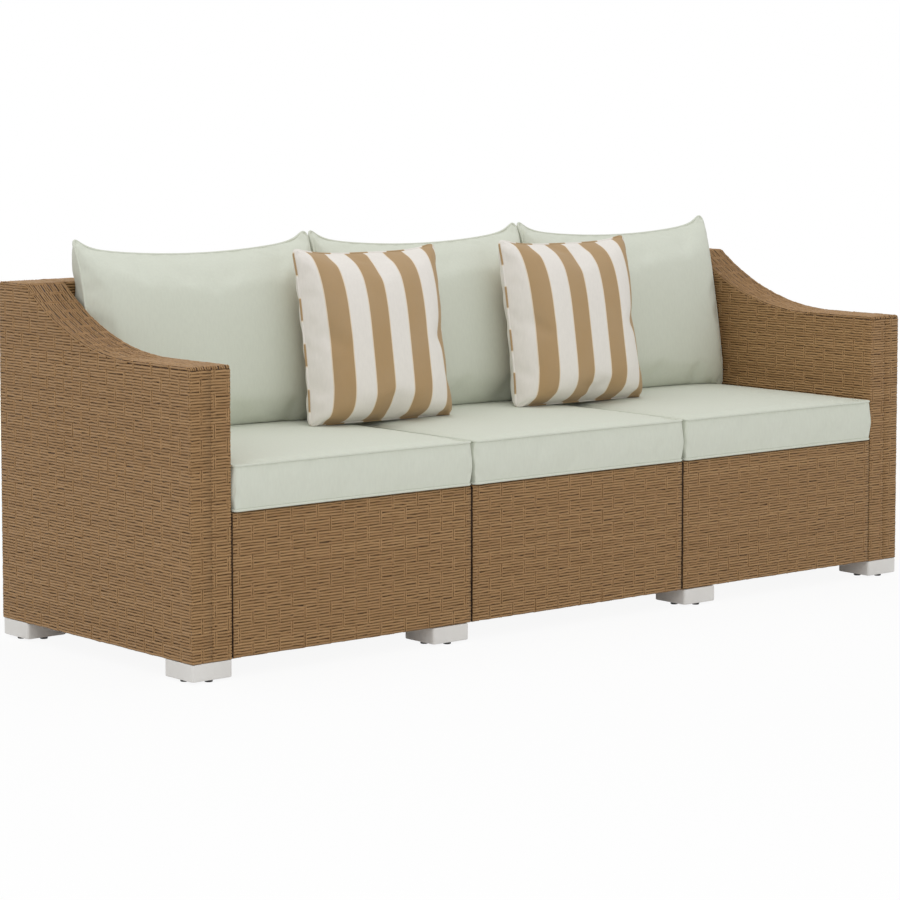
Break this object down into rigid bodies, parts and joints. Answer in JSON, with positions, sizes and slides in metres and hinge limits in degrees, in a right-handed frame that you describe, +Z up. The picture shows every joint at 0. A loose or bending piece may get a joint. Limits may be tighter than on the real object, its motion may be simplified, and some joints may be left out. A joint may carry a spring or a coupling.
{
  "type": "garden sofa",
  "caption": "Woven garden sofa with arms that sweep up to a level back, boxed seat cushions, knife-edged back cushions and loose throw pillows on a welded tube frame.",
  "frame": {"origin": "on the floor at the centre of the footprint", "axes": "+X along the sofa to the right when facing its front, -Y to the front, +Z up"},
  "size_m": [2, 0.677, 0.8194],
  "materials": {
    "weave": "flat extruded strand with a faint sheen, woven tightly",
    "frame_steel": "dark brown powder coat on welded square tube",
    "foot": "light grey moulded plastic, satin",
    "glide": "black moulded, matt",
    "fastener": "zinc plate",
    "cushion_fabric": "pale sage woven outdoor cloth, matt",
    "pillow_fabric": "pale and tan upright stripes, matt",
    "filling": "foam and fibre, unseen"
  },
  "bodies": {
    "frame": {"left_arm_frame": "frame_steel", "left_arm_weave": "weave", "right_arm_frame": "frame_steel", "right_arm_weave": "weave", "seat_frame_left": "frame_steel", "seat_weave_left": "weave", "back_frame_left": "frame_steel", "back_weave_left": "weave", "seat_frame_middle": "frame_steel", "seat_weave_middle": "weave", "back_frame_middle": "frame_steel", "back_weave_middle": "weave", "seat_frame_right": "frame_steel", "seat_weave_right": "weave", "back_frame_right": "frame_steel", "back_weave_right": "weave", "foot_front_left_arm": "foot", "foot_front_left_seam": "foot", "foot_front_right_seam": "foot", "foot_front_right_arm": "foot", "foot_rear_left_arm": "foot", "foot_rear_left_seam": "foot", "foot_rear_right_seam": "foot", "foot_rear_right_arm": "foot", "glide_front_left_arm": "glide", "glide_front_left_seam": "glide", "glide_front_right_seam": "glide", "glide_front_right_arm": "glide", "glide_rear_left_arm": "glide", "glide_rear_left_seam": "glide", "glide_rear_right_seam": "glide", "glide_rear_right_arm": "glide", "bolt_front_left_arm": "fastener", "bolt_rail_left_arm": "fastener", "bolt_rear_left_arm": "fastener", "bolt_front_left_seam": "fastener", "bolt_rail_left_seam": "fastener", "bolt_rear_left_seam": "fastener", "bolt_front_right_seam": "fastener", "bolt_rail_right_seam": "fastener", "bolt_rear_right_seam": "fastener", "bolt_front_right_arm": "fastener", "bolt_rail_right_arm": "fastener", "bolt_rear_right_arm": "fastener"},
    "seat_cushion_left": {"seat_cushion_left_cover": "cushion_fabric", "seat_cushion_left_foam": "filling"},
    "seat_cushion_middle": {"seat_cushion_middle_cover": "cushion_fabric", "seat_cushion_middle_foam": "filling"},
    "seat_cushion_right": {"seat_cushion_right_cover": "cushion_fabric", "seat_cushion_right_foam": "filling"},
    "back_cushion_left": {"back_cushion_left_cover": "cushion_fabric", "back_cushion_left_fill": "filling"},
    "back_cushion_middle": {"back_cushion_middle_cover": "cushion_fabric", "back_cushion_middle_fill": "filling"},
    "back_cushion_right": {"back_cushion_right_cover": "cushion_fabric", "back_cushion_right_fill": "filling"},
    "throw_pillow_left": {"throw_pillow_left_cover": "pillow_fabric", "throw_pillow_left_fill": "filling"},
    "throw_pillow_right": {"throw_pillow_right_cover": "pillow_fabric", "throw_pillow_right_fill": "filling"}
  },
  "joints": [
    {"name": "seat_cushion_left_slide", "type": "slide", "parent": "frame", "child": "seat_cushion_left", "axis": [0, -1, 0], "range_m": [0, 0.25]},
    {"name": "seat_cushion_middle_slide", "type": "slide", "parent": "frame", "child": "seat_cushion_middle", "axis": [0, -1, 0], "range_m": [0, 0.25]},
    {"name": "seat_cushion_right_slide", "type": "slide", "parent": "frame", "child": "seat_cushion_right", "axis": [0, -1, 0], "range_m": [0, 0.25]},
    {"name": "back_cushion_left_lift", "type": "slide", "parent": "frame", "child": "back_cushion_left", "axis": [0, 0, 1], "range_m": [0, 0.33]},
    {"name": "back_cushion_middle_lift", "type": "slide", "parent": "frame", "child": "back_cushion_middle", "axis": [0, 0, 1], "range_m": [0, 0.33]},
    {"name": "back_cushion_right_lift", "type": "slide", "parent": "frame", "child": "back_cushion_right", "axis": [0, 0, 1], "range_m": [0, 0.33]},
    {"name": "throw_pillow_left_lift", "type": "slide", "parent": "frame", "child": "throw_pillow_left", "axis": [0, 0, 1], "range_m": [0, 0.3]},
    {"name": "throw_pillow_right_lift", "type": "slide", "parent": "frame", "child": "throw_pillow_right", "axis": [0, 0, 1], "range_m": [0, 0.3]}
  ]
}
